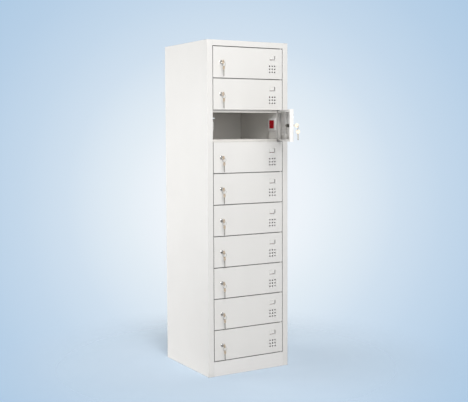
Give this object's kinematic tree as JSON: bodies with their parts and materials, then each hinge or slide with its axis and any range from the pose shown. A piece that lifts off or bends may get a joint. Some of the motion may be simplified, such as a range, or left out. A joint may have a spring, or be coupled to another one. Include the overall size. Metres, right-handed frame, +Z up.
{
  "type": "charging cabinet",
  "caption": "Tall white steel charging cabinet: a column of lockable compartments with hinged doors, cam locks with keys, and a power duct with a socket in each compartment.",
  "frame": {"origin": "centre of the base, on the floor", "axes": "+X to the right seen from the front, +Y to the back (the doors face -Y), +Z up"},
  "size_m": [0.5, 0.8779, 1.78],
  "materials": {
    "white_paint": "satin powder coat",
    "white_plastic": "smooth",
    "red_plastic": "smooth",
    "grey_plastic": "matte",
    "black_plastic": "matte",
    "cable_jacket": "matte",
    "pin_brass": "plated",
    "zinc_steel": "zinc plated",
    "lock_chrome": "polished",
    "key_nickel": "nickel plated"
  },
  "bodies": {
    "cabinet": {"side_panel_left": "white_paint", "side_panel_right": "white_paint", "top_panel": "white_paint", "plinth_panel": "white_paint", "bottom_panel": "white_paint", "back_panel": "white_paint", "shelves": "white_paint", "power_duct": "white_paint", "socket_plates": "white_plastic", "socket_modules": "red_plastic", "terminal_blocks": "grey_plastic", "supply_cable": "cable_jacket", "cable_clips": "grey_plastic", "mains_inlet": "black_plastic", "inlet_pins": "pin_brass", "hinge_brackets": "white_paint", "hinge_pins": "zinc_steel", "latch_keepers": "zinc_steel"},
    "door_01": {"door_01": "white_paint", "lock_barrel_01": "lock_chrome"},
    "lock_01": {"lock_core_01": "lock_chrome"},
    "spare_key_01": {"spare_key_01": "key_nickel"},
    "door_02": {"door_02": "white_paint", "lock_barrel_02": "lock_chrome"},
    "lock_02": {"lock_core_02": "lock_chrome"},
    "spare_key_02": {"spare_key_02": "key_nickel"},
    "door_03": {"door_03": "white_paint", "lock_barrel_03": "lock_chrome"},
    "lock_03": {"lock_core_03": "lock_chrome"},
    "spare_key_03": {"spare_key_03": "key_nickel"},
    "door_04": {"door_04": "white_paint", "lock_barrel_04": "lock_chrome"},
    "lock_04": {"lock_core_04": "lock_chrome"},
    "spare_key_04": {"spare_key_04": "key_nickel"},
    "door_05": {"door_05": "white_paint", "lock_barrel_05": "lock_chrome"},
    "lock_05": {"lock_core_05": "lock_chrome"},
    "spare_key_05": {"spare_key_05": "key_nickel"},
    "door_06": {"door_06": "white_paint", "lock_barrel_06": "lock_chrome"},
    "lock_06": {"lock_core_06": "lock_chrome"},
    "spare_key_06": {"spare_key_06": "key_nickel"},
    "door_07": {"door_07": "white_paint", "lock_barrel_07": "lock_chrome"},
    "lock_07": {"lock_core_07": "lock_chrome"},
    "spare_key_07": {"spare_key_07": "key_nickel"},
    "door_08": {"door_08": "white_paint", "lock_barrel_08": "lock_chrome"},
    "lock_08": {"lock_core_08": "lock_chrome"},
    "spare_key_08": {"spare_key_08": "key_nickel"},
    "door_09": {"door_09": "white_paint", "lock_barrel_09": "lock_chrome"},
    "lock_09": {"lock_core_09": "lock_chrome"},
    "spare_key_09": {"spare_key_09": "key_nickel"},
    "door_10": {"door_10": "white_paint", "lock_barrel_10": "lock_chrome"},
    "lock_10": {"lock_core_10": "lock_chrome"},
    "spare_key_10": {"spare_key_10": "key_nickel"}
  },
  "joints": [
    {"name": "door_01_hinge", "type": "hinge", "parent": "cabinet", "child": "door_01", "pos_m": [0.2055, -0.243, 1.6646], "axis": [0, 0, 1], "range_deg": [0, 110]},
    {"name": "lock_01_turn", "type": "hinge", "parent": "door_01", "child": "lock_01", "pos_m": [-0.168, -0.243, 1.6646], "axis": [0, 1, 0], "range_deg": [0, 90]},
    {"name": "spare_key_01_swing", "type": "hinge", "parent": "lock_01", "child": "spare_key_01", "pos_m": [-0.168, -0.28, 1.6646], "axis": [1, 0, 0], "range_deg": [-90, 20]},
    {"name": "door_02_hinge", "type": "hinge", "parent": "cabinet", "child": "door_02", "pos_m": [0.2055, -0.243, 1.4978], "axis": [0, 0, 1], "range_deg": [0, 110]},
    {"name": "lock_02_turn", "type": "hinge", "parent": "door_02", "child": "lock_02", "pos_m": [-0.168, -0.243, 1.4978], "axis": [0, 1, 0], "range_deg": [0, 90]},
    {"name": "spare_key_02_swing", "type": "hinge", "parent": "lock_02", "child": "spare_key_02", "pos_m": [-0.168, -0.28, 1.4978], "axis": [1, 0, 0], "range_deg": [-90, 20]},
    {"name": "door_03_hinge", "type": "hinge", "parent": "cabinet", "child": "door_03", "pos_m": [0.2055, -0.243, 1.331], "axis": [0, 0, 1], "range_deg": [-65, 45]},
    {"name": "lock_03_turn", "type": "hinge", "parent": "door_03", "child": "lock_03", "pos_m": [0.04765, -0.58151, 1.331], "axis": [-0.9063, 0.4226, 0], "range_deg": [0, 90]},
    {"name": "spare_key_03_swing", "type": "hinge", "parent": "lock_03", "child": "spare_key_03", "pos_m": [0.08118, -0.59714, 1.331], "axis": [0.4226, 0.9063, 0], "range_deg": [-90, 20]},
    {"name": "door_04_hinge", "type": "hinge", "parent": "cabinet", "child": "door_04", "pos_m": [0.2055, -0.243, 1.1642], "axis": [0, 0, 1], "range_deg": [0, 110]},
    {"name": "lock_04_turn", "type": "hinge", "parent": "door_04", "child": "lock_04", "pos_m": [-0.168, -0.243, 1.1642], "axis": [0, 1, 0], "range_deg": [0, 90]},
    {"name": "spare_key_04_swing", "type": "hinge", "parent": "lock_04", "child": "spare_key_04", "pos_m": [-0.168, -0.28, 1.1642], "axis": [1, 0, 0], "range_deg": [-90, 20]},
    {"name": "door_05_hinge", "type": "hinge", "parent": "cabinet", "child": "door_05", "pos_m": [0.2055, -0.243, 0.9974], "axis": [0, 0, 1], "range_deg": [0, 110]},
    {"name": "lock_05_turn", "type": "hinge", "parent": "door_05", "child": "lock_05", "pos_m": [-0.168, -0.243, 0.9974], "axis": [0, 1, 0], "range_deg": [0, 90]},
    {"name": "spare_key_05_swing", "type": "hinge", "parent": "lock_05", "child": "spare_key_05", "pos_m": [-0.168, -0.28, 0.9974], "axis": [1, 0, 0], "range_deg": [-90, 20]},
    {"name": "door_06_hinge", "type": "hinge", "parent": "cabinet", "child": "door_06", "pos_m": [0.2055, -0.243, 0.8306], "axis": [0, 0, 1], "range_deg": [0, 110]},
    {"name": "lock_06_turn", "type": "hinge", "parent": "door_06", "child": "lock_06", "pos_m": [-0.168, -0.243, 0.8306], "axis": [0, 1, 0], "range_deg": [0, 90]},
    {"name": "spare_key_06_swing", "type": "hinge", "parent": "lock_06", "child": "spare_key_06", "pos_m": [-0.168, -0.28, 0.8306], "axis": [1, 0, 0], "range_deg": [-90, 20]},
    {"name": "door_07_hinge", "type": "hinge", "parent": "cabinet", "child": "door_07", "pos_m": [0.2055, -0.243, 0.6638], "axis": [0, 0, 1], "range_deg": [0, 110]},
    {"name": "lock_07_turn", "type": "hinge", "parent": "door_07", "child": "lock_07", "pos_m": [-0.168, -0.243, 0.6638], "axis": [0, 1, 0], "range_deg": [0, 90]},
    {"name": "spare_key_07_swing", "type": "hinge", "parent": "lock_07", "child": "spare_key_07", "pos_m": [-0.168, -0.28, 0.6638], "axis": [1, 0, 0], "range_deg": [-90, 20]},
    {"name": "door_08_hinge", "type": "hinge", "parent": "cabinet", "child": "door_08", "pos_m": [0.2055, -0.243, 0.497], "axis": [0, 0, 1], "range_deg": [0, 110]},
    {"name": "lock_08_turn", "type": "hinge", "parent": "door_08", "child": "lock_08", "pos_m": [-0.168, -0.243, 0.497], "axis": [0, 1, 0], "range_deg": [0, 90]},
    {"name": "spare_key_08_swing", "type": "hinge", "parent": "lock_08", "child": "spare_key_08", "pos_m": [-0.168, -0.28, 0.497], "axis": [1, 0, 0], "range_deg": [-90, 20]},
    {"name": "door_09_hinge", "type": "hinge", "parent": "cabinet", "child": "door_09", "pos_m": [0.2055, -0.243, 0.3302], "axis": [0, 0, 1], "range_deg": [0, 110]},
    {"name": "lock_09_turn", "type": "hinge", "parent": "door_09", "child": "lock_09", "pos_m": [-0.168, -0.243, 0.3302], "axis": [0, 1, 0], "range_deg": [0, 90]},
    {"name": "spare_key_09_swing", "type": "hinge", "parent": "lock_09", "child": "spare_key_09", "pos_m": [-0.168, -0.28, 0.3302], "axis": [1, 0, 0], "range_deg": [-90, 20]},
    {"name": "door_10_hinge", "type": "hinge", "parent": "cabinet", "child": "door_10", "pos_m": [0.2055, -0.243, 0.1634], "axis": [0, 0, 1], "range_deg": [0, 110]},
    {"name": "lock_10_turn", "type": "hinge", "parent": "door_10", "child": "lock_10", "pos_m": [-0.168, -0.243, 0.1634], "axis": [0, 1, 0], "range_deg": [0, 90]},
    {"name": "spare_key_10_swing", "type": "hinge", "parent": "lock_10", "child": "spare_key_10", "pos_m": [-0.168, -0.28, 0.1634], "axis": [1, 0, 0], "range_deg": [-90, 20]}
  ]
}
